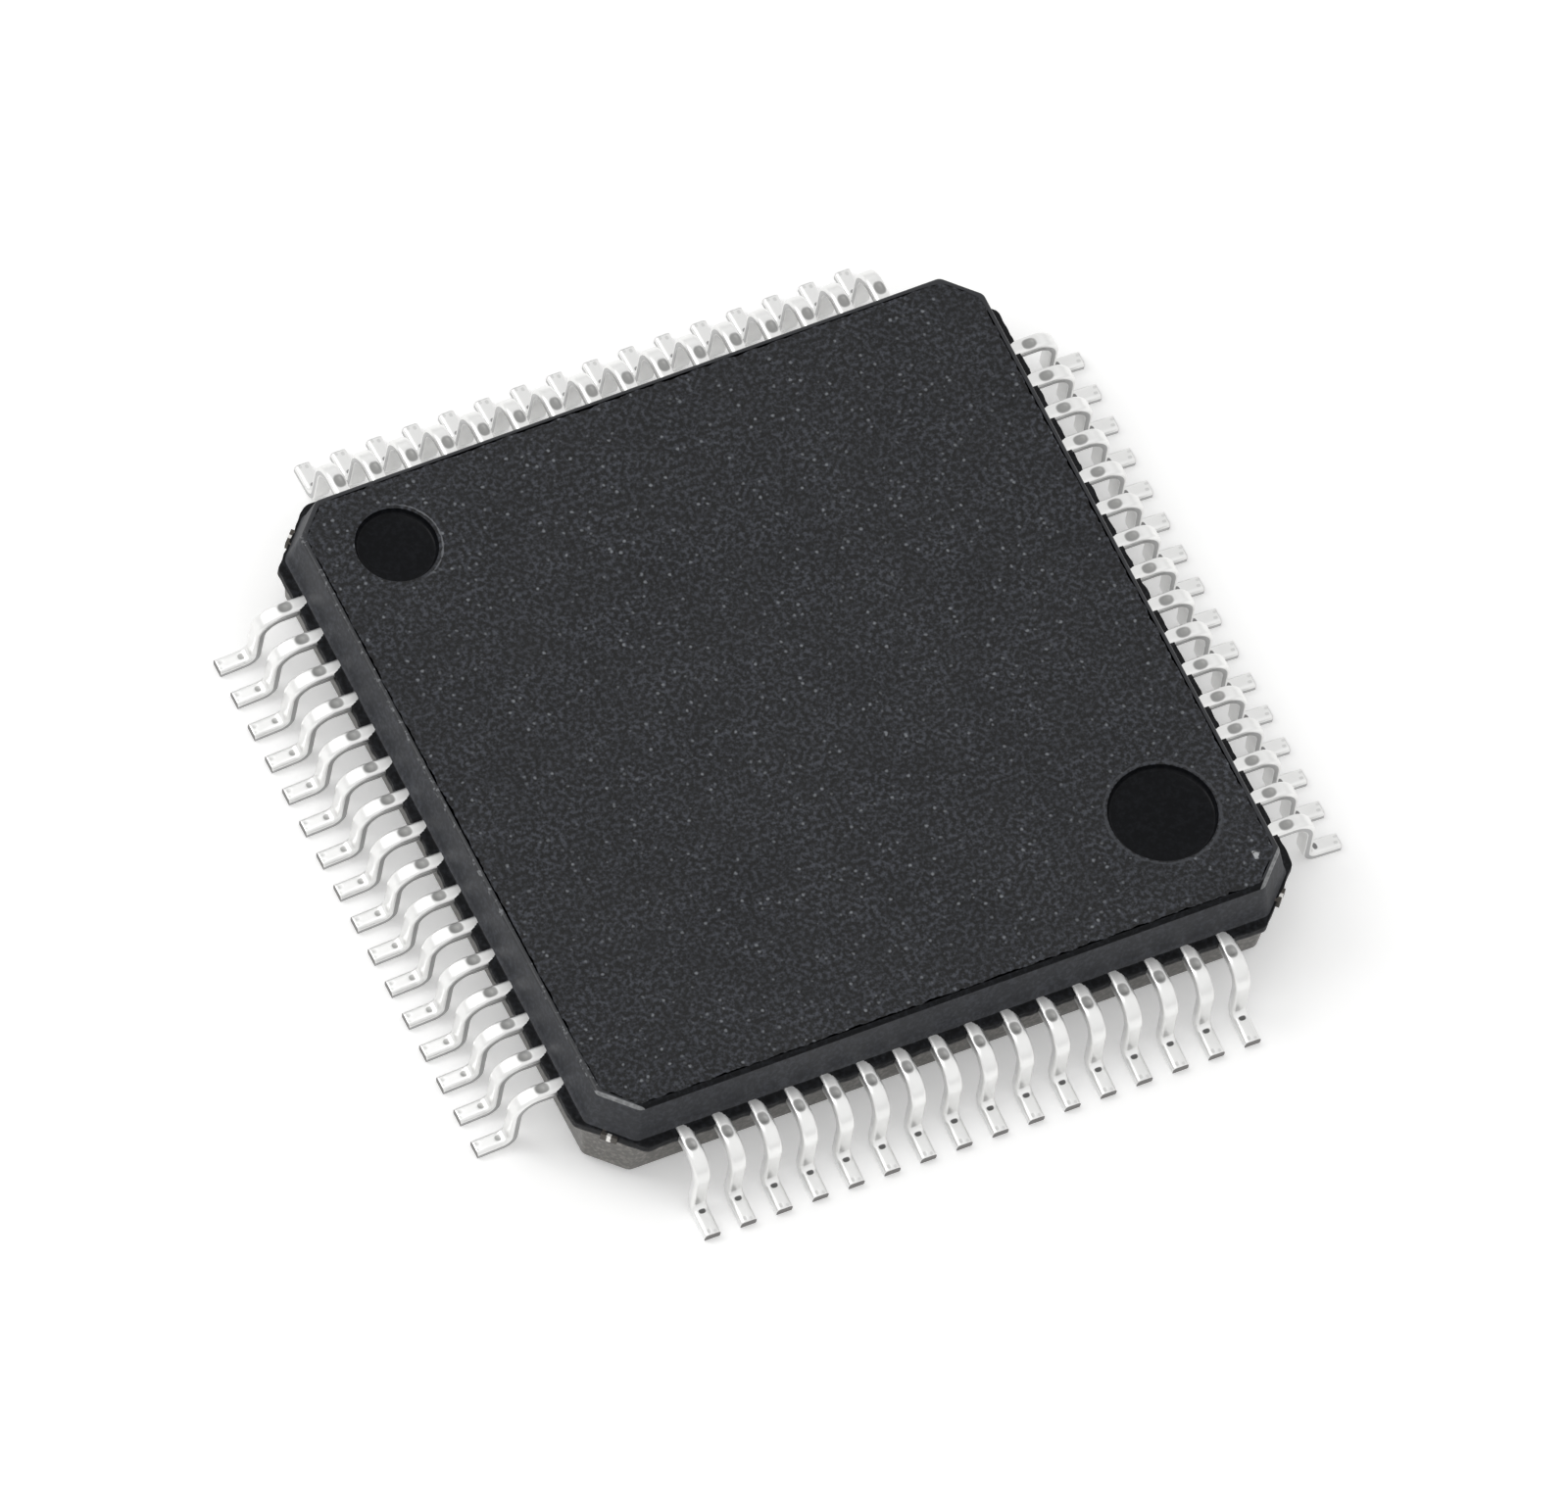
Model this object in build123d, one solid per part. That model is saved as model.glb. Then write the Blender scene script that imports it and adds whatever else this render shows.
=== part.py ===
from build123d import *
import os
from math import cos, radians, sin, sqrt, tan

# A 64-lead quad flat package that holds a converter chip.
# Millimetres, +Z up. The origin is the middle of the footprint on the seating plane,
# the plane that the toes of the leads stand on.
# Pin 1 is at the (-X, +Y) corner, and the count runs -X side, -Y side, +X side, +Y side.

# Footprint
lead_reach = 1.0          # toe to the side of the body
lead_pitch = 0.5
row_margin = 1.25         # middle of the end lead of a row to the side of the body, at least

# Moulded body
body_size = 10.0          # across the flange at the parting plane
flange_reach = 0.125      # how far the flange stands out of the walls
upper_height = 0.62       # parting plane to the top face
lower_height = 0.83       # parting plane to the underside
standoff = 0.13           # underside to the seating plane
upper_draft = 12.0        # degrees
lower_draft = 6.0         # degrees
corner_cut = 0.49         # leg of the cut corner where the walls meet the flange
corner_flash = 0.03       # how far the flange stands out of the cut corners
corner_round = 0.12       # small radius at each end of a cut corner
edge_break = 0.035        # small break round the top face and the underside
pin_mark_radius = 0.53    # recess that marks pin 1
pin_mark_edge_x = 1.08    # its centre to the -X side of the top face
pin_mark_edge_y = 0.96    # its centre to the +Y side of the top face
ejector_radius = 0.70     # recess left by the ejector pin at the opposite corner
ejector_edge_x = 1.14     # its centre to the +X side of the top face
ejector_edge_y = 1.44     # its centre to the -Y side of the top face
recess_depth = 0.09
recess_draft = 20.0       # degrees, slope of the recess walls

# Lead frame: leads, die pad and tie bars are stamped from one strip
strip_thickness = 0.127
lead_width = 0.22
foot_length = 0.55        # toe to the inner face of the riser
foot_angle = 5.0          # degrees, toe down
shoulder_radius = 0.28    # centre line of the bend at the top of the riser
heel_radius = 0.15        # centre line of the bend at the foot of the riser
bend_steps = 3            # flats that make one bend
lead_seat = 0.28          # full-width length of a lead inside the wall
tip_width = 0.16
tip_margin = 0.05         # middle of the end tip of a row to the corner of the die pad
tip_straight = 0.30       # straight end of a lead that takes the wire
pad_size = 5.5
pad_gap = 0.40            # lead tips to the edge of the die pad
pad_downset = 0.25        # die pad below the plane of the leads
tie_width = 0.22
tie_stub = 0.04           # cut end that stands out of the corner of the flange
tie_ramp_start = 0.35     # flat length of a tie bar outside the corner of the pad
tie_ramp_length = 0.45    # plan length of the slope that makes the downset

# Die, its adhesive and its wires
die_size = 3.4
die_thickness = 0.28
adhesive_thickness = 0.025
adhesive_margin = 0.10    # fillet of adhesive that shows around the die
wire_diameter = 0.03
wire_rise = 0.14          # top of the loop above the die
bond_inset = 0.12         # bond to the nearest edge of the die
bond_margin = 0.35        # end bond of a row to the corner of the die
stitch_inset = 0.10       # end of the wire to the tip of its lead

# Worked out from the sizes above
lead_span = body_size + 2 * lead_reach
leads_per_side = int((body_size - 2 * row_margin) / lead_pitch) + 1
tip_pitch = (pad_size - 2 * tip_margin) / (leads_per_side - 1)
bond_pitch = (die_size - 2 * bond_margin) / (leads_per_side - 1)
parting_z = standoff + lower_height
top_z = parting_z + upper_height
wall_half = body_size / 2 - flange_reach
top_half = wall_half - upper_height * tan(radians(upper_draft))
riser = lead_span / 2 - foot_length + strip_thickness / 2
seat_inner = wall_half - lead_seat
tip_end = pad_size / 2 + pad_gap
pad_z = parting_z - pad_downset
die_floor = pad_z + strip_thickness / 2 + adhesive_thickness
die_top = die_floor + die_thickness
cut_corner_reach = (2 * wall_half - corner_cut) / sqrt(2)
flange_cut = body_size - sqrt(2) * (cut_corner_reach + corner_flash)
side_angles = {"front": 0, "right": 90, "back": 180, "left": 270}


def cut_square(half, cut):
    """A square with its corners cut off."""
    square = Rectangle(2 * half, 2 * half)
    return chamfer(square.vertices(), length=cut)


def moulded_half(direction, height, draft):
    """One half of the moulding, drawn in from the parting plane, its edges broken."""
    plane = Plane(origin=(0, 0, parting_z), x_dir=(1, 0, 0), z_dir=(0, 0, direction))
    half = extrude(plane * cut_square(wall_half, corner_cut), amount=height, taper=draft)
    far_face = half.faces().sort_by(Axis.Z)[-1 if direction > 0 else 0]
    half = chamfer(far_face.edges(), length=edge_break)
    upright = half.edges().filter_by(lambda edge: edge.bounding_box().size.Z > height / 2)
    return fillet(upright, radius=corner_round)


def recess(x, y, radius):
    """A shallow round recess in the top face, with sloped walls and a flat floor."""
    floor_radius = radius - recess_depth * tan(radians(recess_draft))
    cone = Cone(bottom_radius=floor_radius, top_radius=radius, height=recess_depth)
    return Pos(x, y, top_z - recess_depth / 2) * cone


def moulding_blank():
    """The whole moulding before the lead frame, the die and the wires take their room."""
    plane = Plane.XY.offset(parting_z)
    flange = extrude(plane * cut_square(body_size / 2, flange_cut), amount=strip_thickness / 2,
                     both=True)
    flange = fillet(flange.edges().filter_by(Axis.Z), radius=corner_round)
    blank = moulded_half(1, upper_height, upper_draft) + flange
    blank += moulded_half(-1, lower_height, lower_draft)
    blank -= recess(pin_mark_edge_x - top_half, top_half - pin_mark_edge_y, pin_mark_radius)
    blank -= recess(top_half - ejector_edge_x, ejector_edge_y - top_half, ejector_radius)
    return blank


def bend(centre, radius, first, last):
    """Points along one bend, at even steps from the first angle to the last, in degrees."""
    angles = [radians(first + (last - first) * step / bend_steps) for step in range(bend_steps + 1)]
    return [(centre[0] + radius * cos(angle), centre[1] + radius * sin(angle)) for angle in angles]


def gull_wing():
    """The side outline of a lead: out of the moulding, down the riser and along the foot."""
    half = strip_thickness / 2
    slope = radians(foot_angle)
    toe = (lead_span / 2 - half * sin(slope), half * cos(slope))
    heel_end = riser + heel_radius * (1 - sin(slope))
    foot_rise = (toe[0] - heel_end) * tan(slope)
    heel_centre = (riser + heel_radius, toe[1] + foot_rise + heel_radius * cos(slope))
    shoulder_centre = (riser - shoulder_radius, parting_z - shoulder_radius)

    def face(offset):
        """One face of the strip, offset from its centre line, from the seat to the toe."""
        return [(seat_inner, parting_z + offset),
                *bend(shoulder_centre, shoulder_radius + offset, 90, 0),
                *bend(heel_centre, heel_radius - offset, 180, 270 - foot_angle),
                (toe[0] + offset * sin(slope), toe[1] + offset * cos(slope))]

    return Polygon(*face(half), *reversed(face(-half)), align=None)


def lead(index):
    """One lead of the -Y side, from the toe to the inner tip that takes the wire."""
    offset = index - (leads_per_side - 1) / 2
    x = offset * lead_pitch
    outward = Plane(origin=(x, 0, 0), x_dir=(0, -1, 0), z_dir=(-1, 0, 0))
    wing = extrude(outward * gull_wing(), amount=lead_width / 2, both=True)

    tip_x = offset * tip_pitch
    half, tip_half = lead_width / 2, tip_width / 2
    fan = Polygon((x - half, -seat_inner), (x + half, -seat_inner),
                  (tip_x + tip_half, -tip_end - tip_straight), (tip_x + tip_half, -tip_end),
                  (tip_x - tip_half, -tip_end), (tip_x - tip_half, -tip_end - tip_straight),
                  align=None)
    inner = extrude(Plane.XY.offset(parting_z) * fan, amount=strip_thickness / 2, both=True)
    return wing + inner


def tie_bar():
    """One tie bar along +X, from the corner of the pad to its cut end, before it is turned."""
    corner = pad_size / sqrt(2)
    ramp_in = corner + tie_ramp_start
    end = cut_corner_reach + corner_flash + tie_stub
    centre = Polyline((corner - tie_width, pad_z), (ramp_in, pad_z),
                      (ramp_in + tie_ramp_length, parting_z), (end, parting_z))
    upright = Plane(origin=(0, 0, 0), x_dir=(1, 0, 0), z_dir=(0, -1, 0))
    section = trace(centre, line_width=strip_thickness)
    return extrude(upright * section, amount=tie_width / 2, both=True)


def die_pad():
    """The die pad with its four tie bars."""
    pad = Pos(0, 0, pad_z) * Box(pad_size, pad_size, strip_thickness)
    for turn in (45, 135, 225, 315):
        pad += Rot(0, 0, turn) * tie_bar()
    return pad


def bond_wire(index):
    """One wire of the -Y side, six-sided: up off the die, then down to the tip of its lead."""
    offset = index - (leads_per_side - 1) / 2
    start = Vector(offset * bond_pitch, bond_inset - die_size / 2, die_top)
    crest = start + Vector(0, 0, wire_rise)
    stitch = Vector(offset * tip_pitch, -tip_end - stitch_inset, parting_z)
    section = Plane(origin=start, z_dir=(0, 0, 1)) * RegularPolygon(wire_diameter / 2, 6)
    return sweep(section, path=Polyline(start, crest, stitch), transition=Transition.RIGHT)


front_leads = [lead(index) for index in range(leads_per_side)]
front_wires = [bond_wire(index) - front_leads[index] for index in range(leads_per_side)]
pad = die_pad()
adhesive = Pos(0, 0, die_floor - adhesive_thickness / 2) * Box(
    die_size + 2 * adhesive_margin, die_size + 2 * adhesive_margin, adhesive_thickness)
die = Pos(0, 0, die_floor + die_thickness / 2) * Box(die_size, die_size, die_thickness)

nodes = {"die_pad": pad, "die_adhesive": adhesive, "silicon_die": die}
inside = [pad, adhesive, die]
for side, angle in side_angles.items():
    row = [Rot(0, 0, angle) * one for one in front_leads]
    wires = [Rot(0, 0, angle) * one for one in front_wires]
    nodes[f"leads_{side}"] = Compound(children=row)
    nodes[f"bond_wires_{side}"] = Compound(children=wires)
    inside += row + wires
nodes["moulded_body"] = moulding_blank() - inside

os.makedirs("parts", exist_ok=True)
for name, shape in nodes.items():
    export_step(shape, f"parts/{name}.step")
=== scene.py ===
from math import cos, pi, radians, sin, sqrt, tan

import bmesh
import bpy
from mathutils import Matrix, Vector, geometry, noise


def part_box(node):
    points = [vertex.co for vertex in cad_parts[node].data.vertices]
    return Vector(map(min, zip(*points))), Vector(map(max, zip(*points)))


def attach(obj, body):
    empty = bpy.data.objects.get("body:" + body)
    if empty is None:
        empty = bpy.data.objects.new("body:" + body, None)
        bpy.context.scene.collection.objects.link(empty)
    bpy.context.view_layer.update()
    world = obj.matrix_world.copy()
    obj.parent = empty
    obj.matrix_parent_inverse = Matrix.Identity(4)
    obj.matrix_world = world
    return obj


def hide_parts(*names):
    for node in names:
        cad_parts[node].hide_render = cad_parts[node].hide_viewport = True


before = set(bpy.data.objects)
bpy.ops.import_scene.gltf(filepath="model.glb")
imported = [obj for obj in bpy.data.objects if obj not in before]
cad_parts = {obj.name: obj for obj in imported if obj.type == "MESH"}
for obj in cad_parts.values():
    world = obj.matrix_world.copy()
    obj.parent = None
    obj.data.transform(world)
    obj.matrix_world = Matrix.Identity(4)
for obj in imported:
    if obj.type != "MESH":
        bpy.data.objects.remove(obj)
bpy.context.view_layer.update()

bl_info = {
    "name": "Quad flat chip package",
    "version": (1, 0, 0),
    "blender": (4, 5, 0),
    "location": "View3D > Sidebar > Chip",
    "description": "Moulded body, formed leads, inner parts and a pale stage for a 64-lead chip package",
    "category": "Add Mesh",
}

MM = 0.001

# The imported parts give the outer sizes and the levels
BODY_LOW, BODY_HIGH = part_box("moulded_body")
LEADS_LOW, LEADS_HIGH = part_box("leads_front")
FLANGE_HALF = BODY_HIGH.x
TOP_Z = BODY_HIGH.z
BOTTOM_Z = BODY_LOW.z
LEAD_TOP_Z = LEADS_HIGH.z
TOE_REACH = -LEADS_LOW.y
TIP_REACH = -LEADS_HIGH.y

# Sizes that the boxes do not give, the same as in the solids
STRIP = 0.127 * MM
FLANGE_REACH = 0.125 * MM
UPPER_DRAFT = radians(12.0)
LOWER_DRAFT = radians(6.0)
CORNER_CUT = 0.49 * MM
CORNER_FLASH = 0.03 * MM
CORNER_ROUND = 0.12 * MM
LEAD_PITCH = 0.5 * MM
LEADS_PER_SIDE = 16
LEAD_WIDTH = 0.22 * MM
LEAD_SEAT = 0.28 * MM
TIP_WIDTH = 0.16 * MM
TIP_PITCH = 0.36 * MM
TIP_STRAIGHT = 0.30 * MM
FOOT_LENGTH = 0.55 * MM
FOOT_ANGLE = radians(5.0)
SHOULDER_RADIUS = 0.28 * MM
HEEL_RADIUS = 0.15 * MM

PARTING_Z = LEAD_TOP_Z - STRIP / 2
WALL_HALF = FLANGE_HALF - FLANGE_REACH
RISER = TOE_REACH - FOOT_LENGTH + STRIP / 2
SEAT_INNER = WALL_HALF - LEAD_SEAT

# Each row is the front row turned about +Z
ROWS = {"front": 0, "right": 90, "back": 180, "left": 270}

# How finely the meshes are divided; every ring is divided alike within SIDE_ZONE of a side's middle
SIDE_ZONE = 4.0 * MM
STEPS_PER_PITCH = 20
END_STEPS = 8
CUT_STEPS = 10
ARC_STEPS = 5
ROUND_STEPS = 6
WALL_STEPS = 8
FLANGE_RINGS = 8
RECESS_STEPS = 96
FACE_GRID = 0.22 * MM
GRID_CLEARANCE = 0.6
TINY = 1e-9
PATH_STEP = 0.018 * MM

# Fine forms of the moulding
EDGE_BAND = 0.034 * MM
EDGE_WAVES = ((0.16 * MM, 0.005), (0.05 * MM, 0.003))
RECESS_RIM = 0.008 * MM
RECESS_SLOPE = radians(20.0)
RECESS_FOOT = 0.02 * MM
SKIN_SINK = 0.014 * MM
SKIN_THICKNESS = 0.020 * MM
UNDER_SKIN = 0.012 * MM
WALL_START = 0.02 * MM

# Fine forms of the leads; they are bare from a little inside the wall
TOP_EDGE = 0.050 * MM
UNDER_EDGE = 0.016 * MM
DENT_DEPTH = 0.004 * MM
BARE_FROM = -0.02 * MM
UNDERSIDE_SHIFT = 10.0

# Order of the materials on the moulding and on the leads
GRAINED, SATIN, LOWER, PARTED, POLISHED, EDGE = range(6)
TINNED, SHEARED, CUT_END, BARE = range(4)

# Each finish of the moulding: depth of its grain, contrast and level of its tone, roughness,
# specular level and strength of its specks, which are partly light filler and partly painted glints
FINISHES = {
    "moulding_grained": (0.016 * MM, 1.0, 1.0, 0.50, 0.28, 1.0),
    "moulding_satin": (0.0020 * MM, 0.25, 1.9, 0.62, 0.5, 0.0),
    "moulding_lower": (0.0015 * MM, 0.25, 1.0, 0.34, 0.5, 0.0),
    "moulding_parted": (0.005 * MM, 0.5, 0.45, 0.5, 0.15, 0.1),
    # The polished recess floors take a low tone, painted shade in the recesses
    "moulding_polished": (0.0003 * MM, 0.2, 0.45, 0.22, 0.08, 0.0),
}
# Light specks of the grain: partly filler, partly painted glints
SPECK_AND_GLINT = (0.17, 0.18, 0.195, 1.0)
# Painted highlight on the pin recess's rim, and the light ring round the ejector recess
PIN_RIM_HIGHLIGHT = (0.12, 0.125, 0.135, 1.0)
EJECTOR_RING = (0.045, 0.048, 0.055, 1.0)
CHIPPED = (0.42, 0.43, 0.44, 1.0)
CHIPPED_SPOT = (4.42 * MM, -4.28 * MM, 0.0)
# Painted highlight colours for the left top edge and for the top edges of the front corners
LEFT_EDGE_HIGHLIGHT = (0.15, 0.155, 0.165, 1.0)
CORNER_EDGE_HIGHLIGHT = (0.27, 0.275, 0.28, 1.0)

# Marks on the upper face of each lead, in millimetres: middle across, middle along from the wall,
# half width, half length, colour, strength
# The gray spots on the shoulders' flat tops are painted reflection
SHOULDER_PAINTED_REFLECTIONS = [(-0.015, 0.285, 0.072, 0.094, (0.23, 0.23, 0.225, 1.0), 0.85),
                  (-0.010, 0.300, 0.040, 0.050, (0.36, 0.36, 0.35, 1.0), 0.60)]
# A dark dot at each heel; its tone differs per row, and that difference is painted shade
HEEL_MARKS = {"front": (0.0, 1.46, 0.048, 0.040, (0.045, 0.045, 0.045, 1.0), 0.90),
              "right": (0.0, 1.46, 0.048, 0.040, (0.10, 0.10, 0.10, 1.0), 0.85),
              "back": (0.0, 1.46, 0.048, 0.040, (0.18, 0.18, 0.18, 1.0), 0.80),
              "left": (0.0, 1.47, 0.042, 0.052, (0.30, 0.30, 0.29, 1.0), 0.75)}
TOE_MARKS = [(-0.035, 1.745, 0.022, 0.030, (0.50, 0.50, 0.49, 1.0), 0.45),
             (0.045, 1.770, 0.020, 0.026, (0.55, 0.55, 0.54, 1.0), 0.40)]
# Tone of the sheared sides per row: duller than the plate on every row, and lighter or darker per row as
# painted light
SHEARED_LIT_TONES = {"front": 0.92, "right": 0.50, "back": 0.55, "left": 0.42}
CUT_TONE = (0.24, 0.235, 0.23)
BARE_TONE = (0.72, 0.45, 0.30)

# The copper of the die pad, and the ends of its tie bars, which start TIE_END out from the middle
COPPER_LOW = (0.60, 0.34, 0.22, 1.0)
COPPER_HIGH = (0.78, 0.50, 0.34, 1.0)
TIE_DULL = (0.085, 0.078, 0.070, 1.0)
TIE_BRIGHT = (0.80, 0.79, 0.76, 1.0)
TIE_END = 6.50 * MM

# Camera, floor, light tent and lamps
CAMERA_AZIMUTH = radians(-35.633)
CAMERA_HEIGHT = radians(58.833)
CAMERA_ROLL = radians(11.857)
CAMERA_TARGET = Vector((-0.167, -0.362, 0.798)) * MM
CAMERA_DISTANCE = 0.12
VIEW_WIDTH = 19.551 * MM
WHITE = (1.0, 1.0, 1.0, 1.0)
FLOOR_RINGS = ((0.02, 0.0), (0.08, 0.0), (0.20, 0.0), (0.25, 0.004))
FLOOR_SIDES = 48
FLOOR_GLOW = 0.27
FLOOR_MIRRORED = 0.26
TENT_HORIZON = 0.75
TENT_LEVEL = 0.98
TENT_DIM = 0.80
TENT_DIM_CENTRE = Vector((0.30, 0.42, 0.856)).normalized()
TENT_DIM_ANGLES = (radians(30.0), radians(8.0))
TENT_DIFFUSE_SHARE = 0.76
LAMP_DISTANCE = 0.10
LAMPS = {"overhead_lamp": ((-0.2, 0.25, 1.0), 0.06, 0.010),
         "left_lamp": ((-0.80, 0.55, 0.90), 0.05, 0.022)}


class ChipSettings(bpy.types.PropertyGroup):
    """Finish and fine sizes of the package that a user may change."""

    edge_round: bpy.props.FloatProperty(
        name="Edge round", description="Radius of the edges of the top face and the underside",
        default=0.045 * MM, min=0.005 * MM, max=0.08 * MM, unit="LENGTH", precision=6)
    pin_mark_radius: bpy.props.FloatProperty(
        name="Pin mark radius", description="Radius of the recess that marks pin 1",
        default=0.53 * MM, unit="LENGTH", precision=6)
    pin_mark_x: bpy.props.FloatProperty(
        name="Pin mark X", description="Middle of the pin mark from the middle of the body",
        default=-3.663 * MM, unit="LENGTH", precision=6)
    pin_mark_y: bpy.props.FloatProperty(
        name="Pin mark Y", description="Middle of the pin mark from the middle of the body",
        default=3.783 * MM, unit="LENGTH", precision=6)
    ejector_radius: bpy.props.FloatProperty(
        name="Ejector mark radius", description="Radius of the recess left by the ejector pin",
        default=0.70 * MM, unit="LENGTH", precision=6)
    ejector_x: bpy.props.FloatProperty(
        name="Ejector mark X", description="Middle of the ejector mark from the middle of the body",
        default=3.603 * MM, unit="LENGTH", precision=6)
    ejector_y: bpy.props.FloatProperty(
        name="Ejector mark Y", description="Middle of the ejector mark from the middle of the body",
        default=-3.303 * MM, unit="LENGTH", precision=6)
    recess_depth: bpy.props.FloatProperty(
        name="Recess depth", description="Depth of both round recesses",
        default=0.09 * MM, unit="LENGTH", precision=6)
    flash_reach: bpy.props.FloatProperty(
        name="Flash reach", description="How far the resin skin runs out over one corner of each lead",
        default=0.17 * MM, min=0.0, max=0.2 * MM, unit="LENGTH", precision=6)
    grain_size: bpy.props.FloatProperty(
        name="Grain size", description="Width of one crater of the spark-eroded top face",
        default=0.060 * MM, min=0.01 * MM, max=0.3 * MM, unit="LENGTH", precision=6)
    mould_colour: bpy.props.FloatVectorProperty(
        name="Moulding colour", description="Base colour of the filled epoxy",
        default=(0.0108, 0.0117, 0.0142), min=0.0, max=1.0, subtype="COLOR")
    # Lower half: the same resin, painted paler and browner as light bounced up from the floor
    floor_lit_lower_colour: bpy.props.FloatVectorProperty(
        name="Lower half colour", description="Base colour of the lower half, which looks paler and browner",
        default=(0.105, 0.099, 0.089), min=0.0, max=1.0, subtype="COLOR")
    tin_colour: bpy.props.FloatVectorProperty(
        name="Tin colour", description="Base colour of the plated leads",
        default=(0.89, 0.89, 0.88), min=0.0, max=1.0, subtype="COLOR")
    floor_colour: bpy.props.FloatVectorProperty(
        name="Floor colour", description="Colour of the floor that the chip stands on",
        default=(0.90, 0.90, 0.895), min=0.0, max=1.0, subtype="COLOR")


# Small mesh helpers

def new_piece(name, fill, materials):
    """Makes an object from a bmesh that fill builds, with the given materials."""
    mesh = bpy.data.meshes.new(name)
    bm = bmesh.new()
    fill(bm)
    bmesh.ops.recalc_face_normals(bm, faces=bm.faces)
    bm.to_mesh(mesh)
    bm.free()
    for material in materials:
        mesh.materials.append(material)
    piece = bpy.data.objects.new(name, mesh)
    bpy.context.scene.collection.objects.link(piece)
    return piece


def add_ring(bm, points):
    """Adds one closed ring of vertices."""
    return [bm.verts.new(point) for point in points]


def add_face(bm, verts, material, smooth=True):
    """Adds one face with its material."""
    face = bm.faces.new(verts)
    face.material_index = material
    face.smooth = smooth
    return face


def join_rings(bm, first, second, material, smooth=True):
    """Fills the band between two rings that have as many vertices."""
    count = len(first)
    for index in range(count):
        following = (index + 1) % count
        add_face(bm, (first[index], first[following], second[following], second[index]), material, smooth)


def linear_step(low, high, value):
    """Share of the way from low to high, held between 0 and 1."""
    return min(1.0, max(0.0, (value - low) / (high - low)))


def smooth_step(low, high, value):
    """0 below low, 1 above high, and a soft change between them."""
    share = linear_step(low, high, value)
    return share * share * (3.0 - 2.0 * share)


def spread(low, high, count):
    """Evenly spaced values from low up to high, with the last one left out."""
    return [low + (high - low) * index / count for index in range(count)]


def rough(point, size, amount):
    """A small repeatable offset for a point, for parted and sheared edges."""
    return amount * noise.noise(point / size)


# Node helpers

def new_material(name):
    """An empty node material: the material, its tree, its output node and the object's own point."""
    material = bpy.data.materials.new(name)
    material.use_nodes = True
    tree = material.node_tree
    tree.nodes.clear()
    output = tree.nodes.new("ShaderNodeOutputMaterial")
    return material, tree, output, put(tree, "ShaderNodeTexCoord").outputs["Object"]


def put(tree, kind, inputs=None, **settings):
    """Adds one node, with its settings, and gives its inputs values or links."""
    node = tree.nodes.new(kind)
    for key, value in settings.items():
        setattr(node, key, value)
    for key, value in (inputs or {}).items():
        if isinstance(value, bpy.types.NodeSocket):
            tree.links.new(value, node.inputs[key])
        else:
            node.inputs[key].default_value = value
    return node


def maths(tree, operation, first, second=0.0):
    """One Math node, and its output."""
    return put(tree, "ShaderNodeMath", {0: first, 1: second}, operation=operation).outputs[0]


def times(tree, first, second):
    """The product of two values."""
    return maths(tree, "MULTIPLY", first, second)


def vector_maths(tree, operation, first, second=(0.0, 0.0, 0.0)):
    """One Vector Math node."""
    return put(tree, "ShaderNodeVectorMath", {0: first, 1: second}, operation=operation)


def axes(tree, vector):
    """The three parts of a vector."""
    return put(tree, "ShaderNodeSeparateXYZ", {0: vector}).outputs


def blend_colours(tree, factor, first, second):
    """Mixes two colours by a factor."""
    return put(tree, "ShaderNodeMix", {0: factor, 6: first, 7: second}, data_type="RGBA").outputs[2]


def map_range(tree, value, low, high, out_low=0.0, out_high=1.0, kind="SMOOTHSTEP"):
    """Maps a value from one range to another."""
    return put(tree, "ShaderNodeMapRange", {0: value, 1: low, 2: high, 3: out_low, 4: out_high},
               interpolation_type=kind).outputs[0]


def change(tree, share, low, high):
    """A value that runs from low to high while the share runs from 0 to 1."""
    return map_range(tree, share, 0.0, 1.0, low, high, "LINEAR")


def noise_at(tree, point, scale, detail, roughness=0.5):
    """The value of a noise texture."""
    return put(tree, "ShaderNodeTexNoise",
               {"Vector": point, "Scale": scale, "Detail": detail, "Roughness": roughness}).outputs[0]


def shade(colour, factor):
    """A colour made lighter or darker, with its alpha."""
    return (*[min(1.0, channel * factor) for channel in colour[:3]], 1.0)


def principled(tree, output, inputs, height, strength, depth):
    """The surface shader with its values, its links and, where there is a height, its bump."""
    shader = put(tree, "ShaderNodeBsdfPrincipled", inputs)
    tree.links.new(shader.outputs[0], output.inputs[0])
    if height:
        bump = put(tree, "ShaderNodeBump", {"Height": height, "Strength": strength, "Distance": depth})
        tree.links.new(bump.outputs[0], shader.inputs["Normal"])


def group_tree(name, inputs, outputs):
    """A shader node group with named sockets: the tree, its inputs and its output node."""
    tree = bpy.data.node_groups.new(name, "ShaderNodeTree")
    for label, kind, default in inputs:
        socket = tree.interface.new_socket(name=label, in_out="INPUT", socket_type=kind)
        if default is not None:
            socket.default_value = default
    for label in outputs:
        tree.interface.new_socket(name=label, in_out="OUTPUT", socket_type="NodeSocketFloat")
    return tree, tree.nodes.new("NodeGroupInput").outputs, tree.nodes.new("NodeGroupOutput")


def place_group(tree, group, inputs):
    """Places a node group in a material with its own values, and gives its outputs."""
    return put(tree, "ShaderNodeGroup", inputs, node_tree=group).outputs


# Shared effects

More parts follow.
